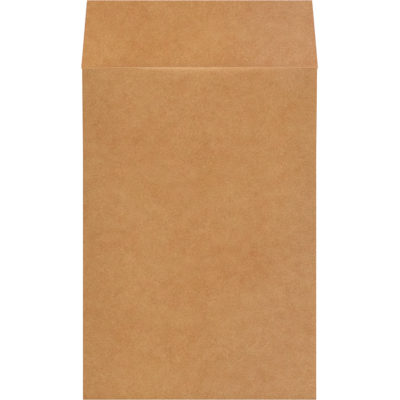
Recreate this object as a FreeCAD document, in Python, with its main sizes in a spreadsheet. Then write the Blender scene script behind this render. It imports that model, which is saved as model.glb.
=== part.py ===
# Paper pocket envelope, lying open on its address panel. Millimetres, +Z up, +Y towards the flap's tip.
# One folded sheet. The address panel and the flap lie flat at the bottom. The mouth panel is folded up
# over them at the bottom fold, and its two side flaps are folded under it and glued to the address panel.
# The origin is at the middle of the address panel's underside.

import math
import operator
import os

import FreeCAD
import Part
import Sketcher
from FreeCAD import Vector

SIZES = {
    # The pocket
    "body_height": 324.5,
    "body_width": 228.0,
    "sheet_thickness": 0.18,
    "fold_gap": 0.14,
    "glue_bite": 0.02,
    "side_flap_width": 18.0,
    "side_flap_taper": 12.0,
    "pocket_crown": 5.2,
    "lip_droop": 0.9,
    "lip_length": 12.0,
    # The flap, and the cut edge of the address panel that leads to it
    "score_drop": 0.6,
    "flap_length": 66.3,
    "flap_angle": 1.5,
    "flap_tip_width": 219.8,
    "shoulder_width": 231.4,
    "shoulder_drop": 0.6,
    "flare_width": 229.8,
    "flare_length": 85.0,
}

# Where the pocket's cross-sections lie between the bottom fold and the lip, as shares of that length
POCKET_STATIONS = (0.08, 0.22, 0.42, 0.66, 0.88)
# Where they lie along the lip, which droops towards the mouth edge
LIP_STATIONS = (0.0, 0.35, 0.7, 1.0)

TRIM_MARGIN = 5.0

START, END, CENTRE = 1, 2, 3
ORIGIN = (-1, 1)

document = FreeCAD.newDocument("envelope")
sheet = document.addObject("Spreadsheet::Sheet", "Sizes")
for row, (alias, number) in enumerate(SIZES.items(), start=1):
    sheet.set(f"A{row}", alias)
    sheet.set(f"B{row}", str(number))
    sheet.setAlias(f"B{row}", alias)
document.recompute()


class Size:
    """A number, and the sheet expression that keeps it up to date."""

    def __init__(self, number, text):
        self.number = number
        self.text = text

    def join(self, sign, work, other, swapped=False):
        if not isinstance(other, Size):
            other = Size(other, str(other))
        first, second = (other, self) if swapped else (self, other)
        return Size(work(first.number, second.number), f"({first.text} {sign} {second.text})")

    def __add__(self, other):
        return self.join("+", operator.add, other)

    def __sub__(self, other):
        return self.join("-", operator.sub, other)

    def __rsub__(self, other):
        return self.join("-", operator.sub, other, swapped=True)

    def __mul__(self, other):
        return self.join("*", operator.mul, other)

    def __truediv__(self, other):
        return self.join("/", operator.truediv, other)

    def __neg__(self):
        return 0.0 - self


def sine(degrees):
    return Size(math.sin(math.radians(degrees.number)), f"sin({degrees.text})")


def cosine(degrees):
    return Size(math.cos(math.radians(degrees.number)), f"cos({degrees.text})")


def tangent(degrees):
    return Size(math.tan(math.radians(degrees.number)), f"tan({degrees.text})")


size = {alias: Size(number, f"Sizes.{alias}") for alias, number in SIZES.items()}
ZERO = Size(0.0, "0")

thickness = size["sheet_thickness"]
mouth = size["body_height"] / 2
bottom = -mouth
score = mouth - size["score_drop"]
flap_tip = score + size["flap_length"] * cosine(size["flap_angle"])

# Side fold: a bend around a thin gap, which joins the mouth panel to the side flap under it
side_bend_inside = size["fold_gap"] / 2
side_bend_outside = side_bend_inside + thickness
side_bend_across = size["body_width"] / 2 - side_bend_outside
side_bend_up = thickness - size["glue_bite"] + side_bend_outside
side_flap_edge = side_bend_across - size["side_flap_width"]

# Bottom fold: a wider bend, from the address panel over the ends of the side flaps to the mouth panel
panel_top = side_bend_up + side_bend_outside
bottom_bend_outside = panel_top / 2
bottom_bend_along = bottom + bottom_bend_outside


def origin_plane(body, role):
    return next(feature for feature in body.Origin.OriginFeatures if feature.Role == role)


def new_sketch(body, name, role, offset=ZERO):
    sketch = body.newObject("Sketcher::SketchObject", name)
    sketch.AttachmentSupport = [(origin_plane(body, role), "")]
    sketch.MapMode = "FlatFace"
    sketch.AttachmentOffset = FreeCAD.Placement(Vector(0, 0, offset.number), FreeCAD.Rotation())
    sketch.setExpression("AttachmentOffset.Base.z", offset.text)
    return sketch


def dimension(sketch, kind, where, amount):
    """Adds a dimension to a sketch and binds it to the sheet."""
    index = sketch.addConstraint(Sketcher.Constraint(kind, *where, amount.number))
    sketch.setExpression(f"Constraints[{index}]", amount.text)


def place(sketch, point, across, up):
    dimension(sketch, "DistanceX", (*ORIGIN, *point), across)
    dimension(sketch, "DistanceY", (*ORIGIN, *point), up)


def line(sketch, first, last):
    return sketch.addGeometry(Part.LineSegment(Vector(*first, 0), Vector(*last, 0)), False)


def arc(sketch, first, middle, last):
    """An arc through three points. The sketch turns it anticlockwise, so its ends are told apart by place."""
    index = sketch.addGeometry(Part.Arc(Vector(*first, 0), Vector(*middle, 0), Vector(*last, 0)), False)
    starts_first = sketch.getPoint(index, START).distanceToPoint(Vector(*first, 0)) < 1e-6
    return index, (START, END) if starts_first else (END, START)


def meet(sketch, kind, first, second):
    sketch.addConstraint(Sketcher.Constraint(kind, *first, *second))


def outline(sketch, corners):
    """A closed outline of straight lines with every corner placed from the sheet."""
    numbers = [(across.number, up.number) for across, up in corners]
    lines = [line(sketch, first, last) for first, last in zip(numbers, numbers[1:] + numbers[:1])]
    for index, following in zip(lines, lines[1:] + lines[:1]):
        meet(sketch, "Coincident", (index, END), (following, START))
    for index, (across, up) in zip(lines, corners):
        place(sketch, (index, START), across, up)


def lengthwise_section(body):
    """The address panel, the bottom fold and the raised flap, seen from the side."""
    sketch = new_sketch(body, "lengthwise_section", "YZ_Plane")
    rise = size["flap_length"] * sine(size["flap_angle"])
    edge_along = flap_tip - thickness * sine(size["flap_angle"])
    edge_up = rise + thickness * cosine(size["flap_angle"])
    mitre = score - thickness * tangent(size["flap_angle"] / 2)
    corners = [
        (bottom_bend_along, ZERO),
        (score, ZERO),
        (flap_tip, rise),
        (edge_along, edge_up),
        (mitre, thickness),
        (bottom_bend_along, thickness),
    ]
    numbers = [(along.number, up.number) for along, up in corners]
    lines = [line(sketch, first, last) for first, last in zip(numbers, numbers[1:])]
    for index, following in zip(lines, lines[1:]):
        meet(sketch, "Coincident", (index, END), (following, START))
    for index, (along, up) in zip(lines, corners):
        place(sketch, (index, START), along, up)
    place(sketch, (lines[-1], END), *corners[-1])

    along = bottom_bend_along.number
    middle_up = bottom_bend_outside.number
    top = panel_top.number
    inner_top = (along, top - thickness.number)
    outer_top = (along, top)
    inner_middle = (bottom.number + thickness.number, middle_up)
    inner, inner_ends = arc(sketch, numbers[-1], inner_middle, inner_top)
    outer, outer_ends = arc(sketch, outer_top, (bottom.number, middle_up), numbers[0])
    end_face = line(sketch, inner_top, outer_top)
    meet(sketch, "Tangent", (lines[-1], END), (inner, inner_ends[0]))
    meet(sketch, "Tangent", (outer, outer_ends[1]), (lines[0], START))
    meet(sketch, "Coincident", (inner, inner_ends[1]), (end_face, START))
    meet(sketch, "Coincident", (end_face, END), (outer, outer_ends[0]))
    place(sketch, (end_face, START), bottom_bend_along, panel_top - thickness)
    place(sketch, (end_face, END), bottom_bend_along, panel_top)
    return sketch


def side_trim(body):
    """What is cut away beside the right edge: past the pocket, its flare, the shoulder and the flap's slant."""
    sketch = new_sketch(body, "side_trim", "XY_Plane")
    slant = (size["shoulder_width"] - size["flap_tip_width"]) / 2 / (flap_tip - score)
    outside = size["shoulder_width"] / 2 + TRIM_MARGIN
    outline(
        sketch,
        [
            (size["body_width"] / 2, bottom - TRIM_MARGIN),
            (outside, bottom - TRIM_MARGIN),
            (outside, flap_tip + TRIM_MARGIN),
            (size["flap_tip_width"] / 2 - slant * TRIM_MARGIN, flap_tip + TRIM_MARGIN),
            (size["shoulder_width"] / 2, score),
            (size["flare_width"] / 2, score - size["shoulder_drop"]),
            (size["body_width"] / 2, score - size["flare_length"]),
        ],
    )
    return sketch


def crown(distance):
    """How far the mouth panel bulges above its folds, at a distance from the bottom fold."""
    swell = size["pocket_crown"] * sine(distance / size["body_height"] * 90)
    lip_start = size["body_height"] - size["lip_length"]
    if distance.number <= lip_start.number:
        return swell
    along_lip = (distance - lip_start) / size["lip_length"]
    return swell - size["lip_droop"] * along_lip * along_lip


def mouth_panel_section(body, name, distance, rise):
    """The mouth panel cut across, from side fold to side fold. Rise is None where the panel is flat."""
    sketch = new_sketch(body, name, "XZ_Plane", -(bottom + distance))
    across = side_bend_across
    skins = []
    for up in (side_bend_up + side_bend_outside, side_bend_up + side_bend_inside):
        left, right = (-across.number, up.number), (across.number, up.number)
        if rise is None:
            skin, (left_end, right_end) = line(sketch, left, right), (START, END)
        else:
            skin, (left_end, right_end) = arc(sketch, left, (0.0, up.number + rise.number), right)
            dimension(sketch, "Radius", (skin,), (across * across + rise * rise) / (rise * 2))
        place(sketch, (skin, left_end), -across, up)
        place(sketch, (skin, right_end), across, up)
        skins.append({-1: (skin, left_end, left), 1: (skin, right_end, right)})
    top, underside = skins
    for side in (-1, 1):
        join = line(sketch, top[side][2], underside[side][2])
        meet(sketch, "Coincident", (join, START), top[side][:2])
        meet(sketch, "Coincident", (join, END), underside[side][:2])
    return sketch


def side_fold_section(body):
    """Both side folds cut across: each turns from the mouth panel's edge down and back into a side flap."""
    sketch = new_sketch(body, "side_fold_section", "XZ_Plane", -bottom_bend_along)
    for side in (1, -1):
        across = side * side_bend_across.number
        edge = side * side_flap_edge.number
        up = side_bend_up.number
        skins = []
        for radius in (side_bend_outside, side_bend_inside):
            over, under = (across, up + radius.number), (across, up - radius.number)
            halfway = (across + side * radius.number, up)
            bend, (over_end, under_end) = arc(sketch, over, halfway, under)
            flap = line(sketch, under, (edge, under[1]))
            meet(sketch, "Tangent", (bend, under_end), (flap, START))
            place(sketch, (bend, over_end), side_bend_across * side, side_bend_up + radius)
            place(sketch, (flap, END), side_flap_edge * side, side_bend_up - radius)
            place(sketch, (bend, CENTRE), side_bend_across * side, side_bend_up)
            skins.append(((bend, over_end, over), (flap, END, (edge, under[1]))))
        for outer, inner in zip(*skins):
            cut_edge = line(sketch, outer[2], inner[2])
            meet(sketch, "Coincident", (cut_edge, START), outer[:2])
            meet(sketch, "Coincident", (cut_edge, END), inner[:2])
    return sketch


def side_flap_trim(body):
    """The corners cut off the side flaps' ends, seen from above, at the height of the gap in the side folds."""
    sketch = new_sketch(body, "side_flap_trim", "XY_Plane", side_bend_up)
    beyond = side_flap_edge - TRIM_MARGIN
    slope = size["side_flap_taper"] / size["side_flap_width"]
    for side in (1, -1):
        for corner, inward in ((mouth, -1), (bottom_bend_along, 1)):
            outline(
                sketch,
                [
                    (side_bend_across * side, corner),
                    (beyond * side, corner),
                    (beyond * side, corner + slope * inward * (side_bend_across - beyond)),
                ],
            )
    return sketch


def build_envelope():
    body = document.addObject("PartDesign::Body", "envelope")
    body.Label = "envelope"

    section = lengthwise_section(body)
    document.recompute()
    panel = body.newObject("PartDesign::Pad", "address_panel_and_flap")
    panel.Profile = section
    panel.Midplane = True
    panel.setExpression("Length", size["shoulder_width"].text)
    document.recompute()

    trim = side_trim(body)
    document.recompute()
    right_edge = body.newObject("PartDesign::Pocket", "right_edge")
    right_edge.Profile = trim
    right_edge.Midplane = True
    right_edge.Type = "ThroughAll"
    document.recompute()
    body.Tip = right_edge
    left_edge = body.newObject("PartDesign::Mirrored", "left_edge")
    left_edge.Originals = [right_edge]
    left_edge.MirrorPlane = (origin_plane(body, "YZ_Plane"), [""])
    body.Tip = left_edge
    document.recompute()

    folds = side_fold_section(body)
    document.recompute()
    side_folds = body.newObject("PartDesign::Pad", "side_folds_and_flaps")
    side_folds.Profile = folds
    side_folds.Reversed = True
    side_folds.setExpression("Length", (mouth - bottom_bend_along).text)
    document.recompute()

    flap_corners = side_flap_trim(body)
    document.recompute()
    tapers = body.newObject("PartDesign::Pocket", "side_flap_tapers")
    tapers.Profile = flap_corners
    tapers.setExpression("Length", (side_bend_up - thickness).text)
    document.recompute()

    pocket_length = size["body_height"] - size["lip_length"]
    distances = [pocket_length * share for share in POCKET_STATIONS]
    distances += [pocket_length + size["lip_length"] * share for share in LIP_STATIONS]
    sections = [mouth_panel_section(body, "mouth_panel_at_bottom", bottom_bend_outside, None)]
    for number, distance in enumerate(distances, start=1):
        sections.append(mouth_panel_section(body, f"mouth_panel_section_{number}", distance, crown(distance)))
    document.recompute()
    mouth_panel = body.newObject("PartDesign::AdditiveLoft", "mouth_panel")
    mouth_panel.Profile = sections[0]
    mouth_panel.Sections = sections[1:]
    document.recompute()
    body.Tip = mouth_panel
    return body


envelope = build_envelope()
document.recompute()
for item in document.Objects:
    if "Invalid" in item.State or "Error" in item.State:
        raise RuntimeError(f"{item.Name} didn't recompute: {item.State}")
if envelope.Shape.isNull() or not envelope.Shape.isValid() or len(envelope.Shape.Solids) != 1:
    raise RuntimeError("the envelope isn't one valid solid")

os.makedirs("parts", exist_ok=True)
envelope.Shape.exportStep(f"parts/{envelope.Label}.step")
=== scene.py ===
import math

import bpy
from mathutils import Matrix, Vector, noise


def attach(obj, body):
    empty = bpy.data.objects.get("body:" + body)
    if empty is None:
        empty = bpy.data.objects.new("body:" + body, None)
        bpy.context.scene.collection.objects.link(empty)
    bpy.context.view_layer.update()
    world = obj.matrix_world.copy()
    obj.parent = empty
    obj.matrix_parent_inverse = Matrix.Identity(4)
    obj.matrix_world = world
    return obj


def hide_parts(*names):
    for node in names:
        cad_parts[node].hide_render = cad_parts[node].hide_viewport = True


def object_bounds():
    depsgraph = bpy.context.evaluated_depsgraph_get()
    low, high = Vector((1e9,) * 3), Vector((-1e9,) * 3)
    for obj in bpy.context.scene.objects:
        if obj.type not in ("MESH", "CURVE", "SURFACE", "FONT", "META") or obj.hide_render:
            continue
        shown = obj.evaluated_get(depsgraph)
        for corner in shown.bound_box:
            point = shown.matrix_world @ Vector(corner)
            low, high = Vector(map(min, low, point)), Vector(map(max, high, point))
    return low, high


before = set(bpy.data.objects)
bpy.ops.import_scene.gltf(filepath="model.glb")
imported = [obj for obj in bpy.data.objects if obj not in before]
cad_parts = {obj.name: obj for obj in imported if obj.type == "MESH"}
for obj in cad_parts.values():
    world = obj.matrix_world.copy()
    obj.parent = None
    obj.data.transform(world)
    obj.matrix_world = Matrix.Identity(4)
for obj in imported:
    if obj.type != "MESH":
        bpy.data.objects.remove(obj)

cad_low, cad_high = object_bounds()

# The sheet
# The whole envelope is one blank of brown kraft paper, cut and folded by machine. The address panel lies
# underneath and runs on into the open flap. The mouth panel is folded up over it at the bottom fold, and
# its two side flaps are folded under it and glued down.
MM = 0.001
SAME_PLACE = 0.001 * MM
SHEET = 0.18 * MM
BODY_HALF = 114.0 * MM
MOUTH = 162.25 * MM
FOLD_RADIUS = 0.16 * MM
PANEL_HALF = BODY_HALF - FOLD_RADIUS - SHEET / 2

# Levels of the middle of the paper, layer on layer from the table up
TABLE_GAP = 0.002 * MM
GLUED_SPACING = 0.9 * SHEET
ADDRESS_LEVEL = SHEET / 2 + TABLE_GAP
SIDE_FLAP_LEVEL = ADDRESS_LEVEL + GLUED_SPACING
PANEL_LEVEL = SIDE_FLAP_LEVEL + FOLD_RADIUS * 2

# The bottom fold, whose outside stays just inside the end of the solid
INSIDE_SOLID = 0.01 * MM
BOTTOM_RADIUS = (PANEL_LEVEL - ADDRESS_LEVEL) / 2
BOTTOM_FOLD = cad_low.y + BOTTOM_RADIUS + SHEET / 2 + INSIDE_SOLID
BODY_HEIGHT = MOUTH - BOTTOM_FOLD

# The score, where the closing flap bends back, and the flaps beyond the panels
SCORE_INSET = 0.6 * MM
SCORE = MOUTH - SCORE_INSET
SHOULDER_DROP = 0.6 * MM
FLAP_LENGTH = 66.3 * MM
SIDE_FLAP_WIDTH = 18.0 * MM
SIDE_FLAP_TAPER = 12.0 * MM

# Fineness of the mesh
COLUMNS = 120
PANEL_ROWS = 170
ADDRESS_ROWS = 60
FLAP_ROWS = 34
SIDE_FLAP_STEPS = 4
FOLD_STEPS = 6


def make_active(piece):
    bpy.ops.object.select_all(action="DESELECT")
    piece.select_set(True)
    bpy.context.view_layer.objects.active = piece


def enter_edit_mode(piece):
    make_active(piece)
    bpy.ops.object.mode_set(mode="EDIT")


def pick(piece, wanted):
    """In edit mode, selects the vertices whose place passes a test, with the edges between them."""
    bpy.ops.mesh.select_all(action="DESELECT")
    bpy.ops.object.mode_set(mode="OBJECT")
    for vertex in piece.data.vertices:
        vertex.select = wanted(vertex.co)
    bpy.ops.object.mode_set(mode="EDIT")
    bpy.ops.mesh.select_mode(type="VERT")


def near(first, second):
    return abs(first - second) < SAME_PLACE


def panel_grid(name, rows, row_place, level):
    """A flat grid across the sheet. Its columns crowd towards both sides, and row_place gives its rows."""
    bpy.ops.object.select_all(action="DESELECT")
    bpy.ops.mesh.primitive_grid_add(x_subdivisions=COLUMNS, y_subdivisions=rows, size=2.0)
    piece = bpy.context.object
    piece.name = name
    crowding = 0.8
    for vertex in piece.data.vertices:
        across = vertex.co.x + crowding * math.sin(math.pi * vertex.co.x) / math.pi
        row = round((vertex.co.y + 1) / 2 * rows)
        vertex.co = Vector((across * PANEL_HALF, row_place(row), level))
    return piece


def mouth_panel_row(row):
    """Rows crowd towards the mouth edge, where the lip curls."""
    crowding = 2.8
    left = (math.exp(crowding * (1 - row / PANEL_ROWS)) - 1) / (math.exp(crowding) - 1)
    return MOUTH - BODY_HEIGHT * left


def address_row(row):
    """Even rows up to the shoulders, one at the score, and the flap's, which crowd towards the score."""
    if row <= ADDRESS_ROWS:
        return BOTTOM_FOLD + (SCORE - SHOULDER_DROP - BOTTOM_FOLD) * row / ADDRESS_ROWS
    evenness = 0.3
    reach = (row - ADDRESS_ROWS - 1) / FLAP_ROWS
    return SCORE + FLAP_LENGTH * reach * (evenness + (1 - evenness) * reach)


envelope = panel_grid("envelope_sheet", PANEL_ROWS, mouth_panel_row, PANEL_LEVEL)

# Side folds: each long edge turns half round and under, and is drawn inwards as a side flap
enter_edit_mode(envelope)
for side in (1, -1):
    pick(envelope, lambda place: near(place.x, side * PANEL_HALF) and near(place.z, PANEL_LEVEL))
    bpy.ops.mesh.spin(
        steps=FOLD_STEPS,
        angle=-side * math.pi,
        center=(side * PANEL_HALF, 0.0, PANEL_LEVEL - FOLD_RADIUS),
        axis=(0, 1, 0),
    )
    inward = -side * SIDE_FLAP_WIDTH / SIDE_FLAP_STEPS
    for _ in range(SIDE_FLAP_STEPS):
        bpy.ops.mesh.extrude_region_move(TRANSFORM_OT_translate={"value": (inward, 0, 0)})

# Bottom fold: the short edge turns half round and meets the address panel
pick(envelope, lambda place: near(place.y, BOTTOM_FOLD) and near(place.z, PANEL_LEVEL))
bpy.ops.mesh.spin(
    steps=FOLD_STEPS,
    angle=-math.pi,
    center=(0.0, BOTTOM_FOLD, PANEL_LEVEL - BOTTOM_RADIUS),
    axis=(1, 0, 0),
)
bpy.ops.object.mode_set(mode="OBJECT")
rows_to_tip = ADDRESS_ROWS + 1 + FLAP_ROWS
address_panel = panel_grid("address_panel_and_flap", rows_to_tip, address_row, ADDRESS_LEVEL)
enter_edit_mode(address_panel)
bpy.ops.mesh.select_all(action="SELECT")
bpy.ops.mesh.flip_normals()
bpy.ops.object.mode_set(mode="OBJECT")
make_active(envelope)
address_panel.select_set(True)
bpy.ops.object.join()
enter_edit_mode(envelope)
bpy.ops.mesh.select_all(action="SELECT")
bpy.ops.mesh.remove_doubles(threshold=SAME_PLACE)
bpy.ops.object.mode_set(mode="OBJECT")


def fade(amount, start, end):
    """Rises smoothly from 0 at the start to 1 at the end. The end may be the smaller of the two."""
    share = min(max((amount - start) / (end - start), 0.0), 1.0)
    return share * share * (3 - 2 * share)


def closeness(distance, reach):
    """1 at no distance, falling straight to 0 at the reach, and 0 beyond it."""
    return max(1 - distance / reach, 0.0)


def ripple(place, length, height, seed):
    """A soft random swell of a given height, up or down, with waves of about the given length."""
    return height * noise.noise(Vector((place.x / length, place.y / length, seed)))


def on_flap(place):
    return near(place.z, ADDRESS_LEVEL) and place.y > SCORE - SAME_PLACE


SHOULDER_HALF = 115.7 * MM
FLAP_TIP_HALF = 109.9 * MM
FLARE_HALF = 114.9 * MM
FLARE_LENGTH = 85.0 * MM
FLAP_ANGLE = math.radians(1.5)


def half_width(along):
    """Half the width of the address panel and flap, out to the cut edge."""
    if along > SCORE - SAME_PLACE:
        return SHOULDER_HALF + (FLAP_TIP_HALF - SHOULDER_HALF) * (along - SCORE) / FLAP_LENGTH
    return BODY_HALF + (FLARE_HALF - BODY_HALF) * closeness(SCORE - along, FLARE_LENGTH)


def shape_flap(place):
    """Lifts the open flap at an even slope from the mouth edge outwards, and gives it a faint wave."""
    out = place.y - SCORE
    lift = math.sin(FLAP_ANGLE) * max(out - SCORE_INSET, 0.0)
    wave = ripple(place, length=90 * MM, height=0.35 * MM, seed=3.0) * fade(out, 0.0, 40 * MM)
    place.z += lift + wave
    place.y -= out * (1 - math.cos(FLAP_ANGLE))


CROWN = 5.0 * MM
LIP_MIDDLE = 13.0 * MM
LIP_HALF = 95.0 * MM
LIP_DROOP = 1.25 * MM
LIP_LENGTH = 16.0 * MM
LIP_ROLL = 0.16 * MM
LIP_ROLL_LENGTH = 4.0 * MM


def lip_share(place):
    """How much of the lip's droop is felt: all near the middle of the mouth, and none near its corners."""
    return closeness(((place.x - LIP_MIDDLE) / LIP_HALF) ** 2, 1.0) ** 1.5


def shape_mouth_panel(place):
    """Bulges the mouth panel over the pocket, and bends its lip down along the middle of the mouth."""
    across = abs(place.x) / PANEL_HALF
    along = (place.y - BOTTOM_FOLD) / BODY_HEIGHT
    bulge = CROWN * math.sin(math.pi / 2 * along) * (1 - across ** 2.4)
    bend = LIP_DROOP * closeness(MOUTH - place.y, LIP_LENGTH) ** 3
    roll = LIP_ROLL * closeness(MOUTH - place.y, LIP_ROLL_LENGTH) ** 2
    swell = ripple(place, length=110 * MM, height=0.5 * MM, seed=1.0)
    dimple = ripple(place, length=45 * MM, height=0.12 * MM, seed=2.0)
    inside_folds = fade(across, 1.0, 5 / 6) * fade(along, 0.0, 1 / 8)
    place.z += bulge - (bend + roll) * lip_share(place) + (swell + dimple) * inside_folds


MOUTH_RISE = 0.25 * MM
RIGHT_RISE = 0.2 * MM
LEFT_DROP = 0.85 * MM
LEFT_DROP_START = 74.0 * MM
LEFT_DROP_WIDTH = 40.0 * MM
SKEW_DEPTH = 40.0 * MM


def skew_mouth(place):
    """Sets the mouth edge out of square: a little high, most at its right, and low at its left corner."""
    past_start = max(-place.x - LEFT_DROP_START, 0.0) / LEFT_DROP_WIDTH
    rise = MOUTH_RISE + RIGHT_RISE * fade(place.x, 10 * MM, 70 * MM)
    place.y += (rise - LEFT_DROP * past_start ** 1.2) * fade(place.y, MOUTH - SKEW_DEPTH, MOUTH)


# Pale bands on the flat sheet. The folds are worn pale. The mouth edge is paler cut paper with a painted
# highlight on it. The lip below it has a painted highlight, and the flap's root has painted light that
# lifts the lip's shade.
EDGE_DEPTH = 0.85 * MM
WIDE_EDGE_DEPTH = 2.975 * MM
WIDE_EDGE_MIDDLE = -18.0 * MM
WIDE_EDGE_HALF = 44.0 * MM
LIP_DEPTH = 7.0 * MM
FLAP_ROOT_DEPTH = 3.5 * MM
LIP_HIGHLIGHT = 0.5
BENT_AWAY = 0.3
FLAP_ROOT_LIGHT = 0.3
CREASE_WEAR = 0.2


def wear_and_painted_light(place):
    """How pale the flat sheet is: worn pale at its folds and cut mouth edge, with a painted highlight
    along that edge and on its drooping lip, and painted light at the flap's root.
    """
    if near(place.z, PANEL_LEVEL):
        inwards = MOUTH - place.y
        # Down the middle of the mouth the pale edge band is deeper: partly paler cut paper, partly a
        # painted highlight where the edge catches the lamp.
        pale_and_lit = fade(((place.x - WIDE_EDGE_MIDDLE) / WIDE_EDGE_HALF) ** 2, 1.0, 0.6)
        depth = EDGE_DEPTH + (WIDE_EDGE_DEPTH - EDGE_DEPTH) * pale_and_lit
        edge = fade(inwards, depth, depth / 3)
        # Painted highlight on the drooping lip, strongest down the middle of the mouth.
        lip = LIP_HIGHLIGHT * lip_share(place) * fade(inwards, LIP_DEPTH, 0.0)
        return edge * (1 - BENT_AWAY * lip_share(place)) + lip * (1 - edge)
    if on_flap(place):
        # Painted light on the flap beside the mouth edge, except towards the left, lifting the shade under
        # the lip.
        root = fade(place.y, MOUTH + FLAP_ROOT_DEPTH, MOUTH)
        return FLAP_ROOT_LIGHT * fade(place.x, -80 * MM, -20 * MM) * root
    flat = near(place.z, SIDE_FLAP_LEVEL) or near(place.z, ADDRESS_LEVEL)
    return 0.0 if flat else CREASE_WEAR


def ageing(place):
    """How far the paper has gone pale and pink: on the right of the flap, the mouth and the foot."""
    if on_flap(place):
        return fade(place.x, 5 * MM, 90 * MM)
    lower_right = fade(place.x - 0.5 * place.y, 20 * MM, 140 * MM)
    mouth_right = fade(place.x, 45 * MM, 95 * MM) * fade(place.y, 115 * MM, 165 * MM)
    return max(lower_right, 0.8 * mouth_right)


LEFT_PAINTED_SHADE = 0.085
FOLD_PAINTED_SHADE = 0.06
UPPER_RIGHT_SHADE = 0.05
TIP_PAINTED_SHADE = 0.055


def darkening(place):
    """How much darker the paper is painted: painted shade along the left of the pocket and at its left
    fold, and towards the flap's tip; and darker at the upper right.
    """
    if near(place.z, PANEL_LEVEL):
        from_fold = PANEL_HALF + place.x
        # Painted shade down the left of the pocket, where its bulge turns away from the lamp, and at its
        # left fold.
        left = LEFT_PAINTED_SHADE * closeness(from_fold, 44 * MM) + FOLD_PAINTED_SHADE * fade(from_fold, 1.2 * MM, 0.0)
        upper_right = fade(place.x, 72 * MM, 106 * MM) * fade(place.y, -70 * MM, 10 * MM)
        return left + UPPER_RIGHT_SHADE * upper_right
    if on_flap(place):
        # Painted shade towards the flap's tip.
        return TIP_PAINTED_SHADE * fade(place.y, SCORE, SCORE + FLAP_LENGTH)
    return 0.0


# Each vertex takes its painted layers (ageing, wear with painted highlight and painted light, and painted
# shade) while the sheet is still flat, and is then moved to its place
colour_and_light_layers = {"worn_and_lit": wear_and_painted_light, "aged": ageing, "dark": darkening}
layers = {name: envelope.data.attributes.new(name, "FLOAT", "POINT") for name in colour_and_light_layers}
for vertex in envelope.data.vertices:
    place = vertex.co
    for name, paint_layer in colour_and_light_layers.items():
        layers[name].data[vertex.index].value = paint_layer(place)
    if near(place.z, ADDRESS_LEVEL):
        place.x *= half_width(place.y) / PANEL_HALF
        if on_flap(place):
            shape_flap(place)
        continue
    if near(place.z, SIDE_FLAP_LEVEL):
        taper = SIDE_FLAP_TAPER * (PANEL_HALF - abs(place.x)) / SIDE_FLAP_WIDTH
        middle = (MOUTH + BOTTOM_FOLD) / 2
        place.y = middle + (place.y - middle) * (1 - 2 * taper / BODY_HEIGHT)
    if near(place.z, PANEL_LEVEL):
        shape_mouth_panel(place)
    skew_mouth(place)

thickness = envelope.modifiers.new("thickness", "SOLIDIFY")
thickness.thickness = SHEET
thickness.offset = 0.0
thickness.use_even_offset = True
thickness.material_offset = 1
thickness.material_offset_rim = 2


class Wire:
    """A socket in a node tree. Arithmetic on it adds Math nodes."""

    def __init__(self, tree, socket=None):
        self.tree = tree
        self.socket = socket

    def node(self, kind, settings, inputs, output=0):
        """Adds a node, sets it up, feeds its sockets and gives back one of its outputs."""
        made = self.tree.nodes.new(kind)
        for name, setting in settings.items():
            setattr(made, name, setting)
        for name, feed in inputs.items():
            if isinstance(feed, Wire):
                self.tree.links.new(feed.socket, made.inputs[name])
            else:
                made.inputs[name].default_value = feed
        return Wire(self.tree, made.outputs[output] if made.outputs else None)

    def maths(self, operation, first, second):
        return self.node("ShaderNodeMath", {"operation": operation}, {0: first, 1: second})

    def __add__(self, other):
        return self.maths("ADD", self, other)

    def __sub__(self, other):
        return self.maths("SUBTRACT", self, other)

    def __rsub__(self, other):
        return self.maths("SUBTRACT", other, self)

    def __mul__(self, other):
        return self.maths("MULTIPLY", self, other)

    __radd__ = __add__
    __rmul__ = __mul__

    def clamp(self):
        return self.node("ShaderNodeClamp", {}, {"Value": self})


def new_tree(holder):
    holder.use_nodes = True
    holder.node_tree.nodes.clear()
    return Wire(holder.node_tree)


def grain(tree, place, length, seed, detail=2.0, longer=1.0, turn=0.0, bend=0.0):
    """Random cloud about 0 with blotches of a given size, which may be longer one way, turned and bent."""
    moved = tree.node(
        "ShaderNodeMapping",
        {"vector_type": "TEXTURE"},
        {
            "Vector": place,
            "Location": (seed, 0, 0),
            "Rotation": (0, 0, math.radians(turn)),
            "Scale": (1, longer, 1),
        },
    )
    cloud = tree.node(
        "ShaderNodeTexNoise",
        {"noise_dimensions": "3D"},
        {"Vector": moved, "Scale": 1 / length, "Detail": detail, "Roughness": 0.6, "Distortion": bend},
    )
    return cloud - 0.5


# The pale colour of worn folds and cut edges, which also serves for the painted highlight along the mouth
# edge and lip.
PALE_WEAR_AND_HIGHLIGHT = (0.67, 0.372, 0.158)
FLECK = (0.36, 0.265, 0.165)


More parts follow.
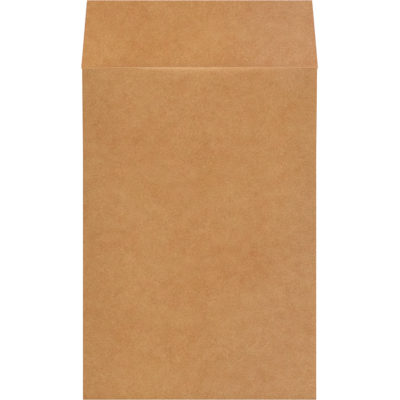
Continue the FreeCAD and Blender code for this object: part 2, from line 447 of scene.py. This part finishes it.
def kraft(name, fresh_colour, aged_colour):
    """Kraft paper: mottled pale yellow to dark orange, matted with fibres, rubbed pale where worn, with
    painted highlight and painted shade laid on from the sheet's layers.
    """
    material = bpy.data.materials.new(name)
    tree = new_tree(material)
    place = tree.node("ShaderNodeTexCoord", {}, {}, "Object")
    worn_and_lit, aged, dark = (
        tree.node("ShaderNodeAttribute", {"attribute_name": paint_layer}, {}, "Fac") for paint_layer in colour_and_light_layers
    )
    clouds = grain(tree, place, length=60 * MM, seed=1.0, detail=3.0)
    flocks = grain(tree, place, length=9 * MM, seed=2.0, detail=3.0)
    tooth = grain(tree, place, length=1.2 * MM, seed=3.0)
    ruddy = grain(tree, place, length=11 * MM, seed=5.0, detail=3.0)
    ashen = grain(tree, place, length=11 * MM, seed=6.0, detail=3.0)

    # Three mats of pale and dull fibres, each lying its own way, and dark specks among them
    strands = 0.0
    for seed, turn in ((7.0, 12), (8.0, 71), (9.0, 133)):
        mat = grain(tree, place, length=0.24 * MM, seed=seed, detail=1.0, longer=10.0, turn=turn, bend=0.5)
        pale = ((mat - 0.08) * 5).clamp()
        dull = ((-0.10 - mat) * 5).clamp()
        strands = pale - dull + strands
    specks = ((-0.23 - grain(tree, place, length=0.8 * MM, seed=11.0, detail=1.0)) * 12).clamp()

    paper = tree.node(
        "ShaderNodeMix",
        {"data_type": "RGBA"},
        {"Factor": aged, "A": (*fresh_colour, 1.0), "B": (*aged_colour, 1.0)},
        "Result",
    )
    # Red, green and blue of the blotches: pale ones turn yellower, and dark ones more orange
    blotches = tree.node(
        "ShaderNodeCombineXYZ",
        {},
        {
            "X": 1 + clouds * 0.14 + flocks * 0.21 + ruddy * 0.11,
            "Y": 1 + clouds * 0.37 + flocks * 0.45 - ruddy * 0.07,
            "Z": 1 + clouds * 0.60 + flocks * 0.76 + ashen * 0.31,
        },
    )
    tinted = tree.node("ShaderNodeVectorMath", {"operation": "MULTIPLY"}, {0: paper, 1: blotches})
    # Painted shade: the dark layer scales the colour down.
    shaded = tree.node("ShaderNodeVectorMath", {"operation": "SCALE"}, {0: tinted, "Scale": 1 - dark})
    # Mixes towards the pale colour where the sheet is worn and where a highlight is painted.
    pale_and_lit = tree.node(
        "ShaderNodeMix",
        {"data_type": "RGBA"},
        {"Factor": worn_and_lit * (0.85 + tooth), "A": shaded, "B": (*PALE_WEAR_AND_HIGHLIGHT, 1.0)},
        "Result",
    )
    lighter = tooth * 0.84 + strands * 0.20 - specks * 0.20
    flecks = tree.node("ShaderNodeVectorMath", {"operation": "SCALE"}, {0: FLECK, "Scale": lighter})
    matted = tree.node("ShaderNodeVectorMath", {"operation": "ADD"}, {0: pale_and_lit, 1: flecks})
    relief = tooth * 0.4 + strands * 0.20
    bump = tree.node("ShaderNodeBump", {}, {"Strength": 0.35, "Distance": 0.3 * MM, "Height": relief})
    shader = tree.node(
        "ShaderNodeBsdfPrincipled",
        {},
        {
            "Base Color": matted,
            "Roughness": flocks * 0.2 + 0.55,
            "Specular IOR Level": 0.25,
            "Normal": bump,
        },
    )
    tree.node("ShaderNodeOutputMaterial", {}, {"Surface": shader})
    return material


for material in (
    kraft("kraft_outside", fresh_colour=(0.507, 0.239, 0.0757), aged_colour=(0.505, 0.2490, 0.0965)),
    kraft("kraft_inside", fresh_colour=(0.551, 0.252, 0.078), aged_colour=(0.5535, 0.2705, 0.1145)),
    kraft("kraft_cut_edge", fresh_colour=PALE_WEAR_AND_HIGHLIGHT, aged_colour=PALE_WEAR_AND_HIGHLIGHT),
):
    envelope.data.materials.append(material)

make_active(envelope)
bpy.ops.object.modifier_apply(modifier=thickness.name)
bpy.ops.object.shade_smooth_by_angle(angle=math.radians(50))

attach(envelope, "root")
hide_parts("envelope")

# The table top
# A plain white surface, which isn't part of the envelope.
# It shows white to the camera and still takes the envelope's shadow.
TABLE_WIDTH = 12.0
TABLE_PAINT = 0.86
TABLE_GLOW = 0.2

bpy.ops.mesh.primitive_plane_add(size=TABLE_WIDTH)
table = bpy.context.object
table.name = "table_top"
white = bpy.data.materials.new("table_white")
tree = new_tree(white)
paint = tree.node("ShaderNodeBsdfDiffuse", {}, {"Color": (TABLE_PAINT, TABLE_PAINT, TABLE_PAINT, 1.0)})
seen = tree.node("ShaderNodeLightPath", {}, {}, "Is Camera Ray")
shine = tree.node("ShaderNodeLightPath", {}, {}, "Is Glossy Ray")
strength = (seen + shine) * TABLE_GLOW
glow = tree.node("ShaderNodeEmission", {}, {"Color": (1, 1, 1, 1), "Strength": strength})
both = tree.node("ShaderNodeAddShader", {}, {0: paint, 1: glow})
tree.node("ShaderNodeOutputMaterial", {}, {"Surface": both})
table.data.materials.append(white)

# Light
# Soft daylight from all round, and one soft lamp beyond the flap, which picks out the drooping lip.
# Together they are at a plain level, at which the paper shows about as its colours are written.
AMBIENT = 0.4
LAMP_SHARE = 0.6
LAMP_FROM_ABOVE = math.radians(32)
LAMP_ASIDE = math.radians(-15)
LAMP_SOFTNESS = math.radians(25)

world = bpy.data.worlds.new("studio")
bpy.context.scene.world = world
tree = new_tree(world)
seen = tree.node("ShaderNodeLightPath", {}, {}, "Is Camera Ray")
shine = tree.node("ShaderNodeLightPath", {}, {}, "Is Glossy Ray")
through = tree.node("ShaderNodeLightPath", {}, {}, "Is Transmission Ray")
strength = (seen + shine + through).clamp() * (1 - AMBIENT) + AMBIENT
sky = tree.node("ShaderNodeBackground", {}, {"Color": (1, 1, 1, 1), "Strength": strength})
tree.node("ShaderNodeOutputWorld", {}, {"Surface": sky})

lamp = bpy.data.objects.new("lamp", bpy.data.lights.new("lamp", "SUN"))
bpy.context.collection.objects.link(lamp)
lamp.data.energy = math.pi * LAMP_SHARE / math.cos(LAMP_FROM_ABOVE)
lamp.data.angle = LAMP_SOFTNESS
lamp.rotation_euler = (-LAMP_FROM_ABOVE, 0.0, LAMP_ASIDE)

# Camera
# It looks straight down from well above, through a long lens.
# The envelope fills the frame from its flap's tip to its bottom fold.
FRAME_PIXELS = 400
FLAP_TIP_PIXEL = 0.26
BOTTOM_FOLD_PIXEL = 399.73
MIDDLE_PIXEL = 199.6
DISTANCE = 4.0

pixel = (cad_high.y - cad_low.y) / (BOTTOM_FOLD_PIXEL - FLAP_TIP_PIXEL)
camera = bpy.data.objects.new("camera", bpy.data.cameras.new("camera"))
bpy.context.collection.objects.link(camera)
camera.data.lens = camera.data.sensor_width * DISTANCE / (pixel * FRAME_PIXELS)
middle = (cad_high.y + cad_low.y) / 2
camera.location = (
    (FRAME_PIXELS / 2 - MIDDLE_PIXEL) * pixel,
    middle + ((BOTTOM_FOLD_PIXEL + FLAP_TIP_PIXEL) / 2 - FRAME_PIXELS / 2) * pixel,
    DISTANCE,
)
bpy.context.scene.camera = camera
bpy.context.scene.view_settings.view_transform = "Standard"
